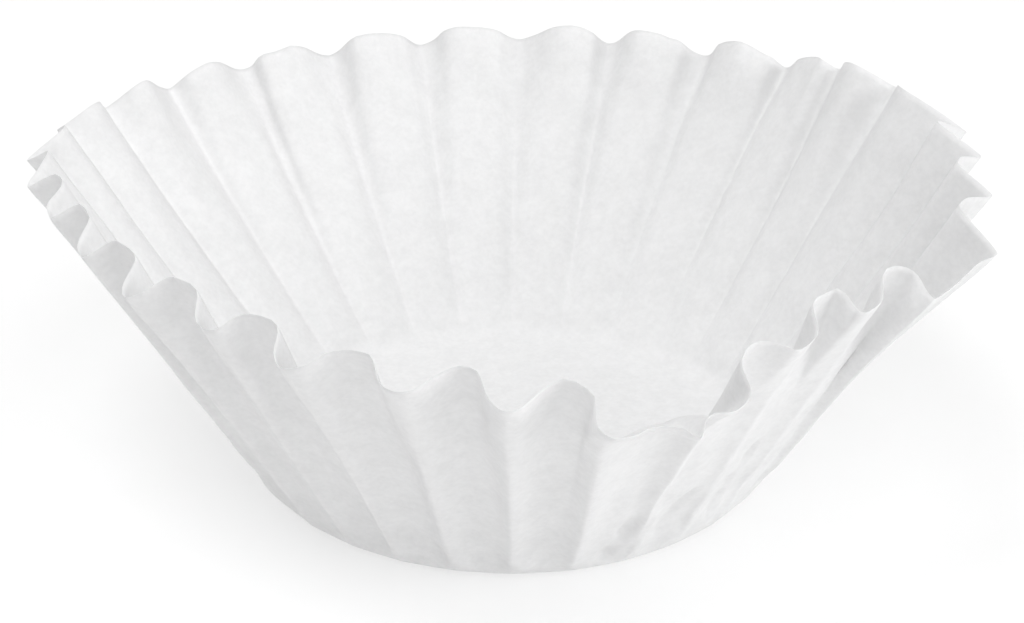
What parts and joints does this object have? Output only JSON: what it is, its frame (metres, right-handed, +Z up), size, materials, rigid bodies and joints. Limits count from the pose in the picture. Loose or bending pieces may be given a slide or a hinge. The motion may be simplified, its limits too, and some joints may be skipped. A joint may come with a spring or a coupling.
{
  "type": "paper coffee filter",
  "caption": "Basket-shaped paper coffee filter: round flat base and flared fluted wall, pressed from a disc of crepe paper, standing open.",
  "frame": {"origin": "centre of the flat base, on the plane the filter rests on", "axes": "+Z up, away from the base; +Y towards the wider back of the rim; +X to the right seen from the front"},
  "size_m": [0.1538, 0.1673, 0.0544],
  "materials": {
    "filter_paper": "matte, uncoated, finely creped"
  },
  "bodies": {
    "root": {"filter_paper": "filter_paper"}
  },
  "joints": []
}
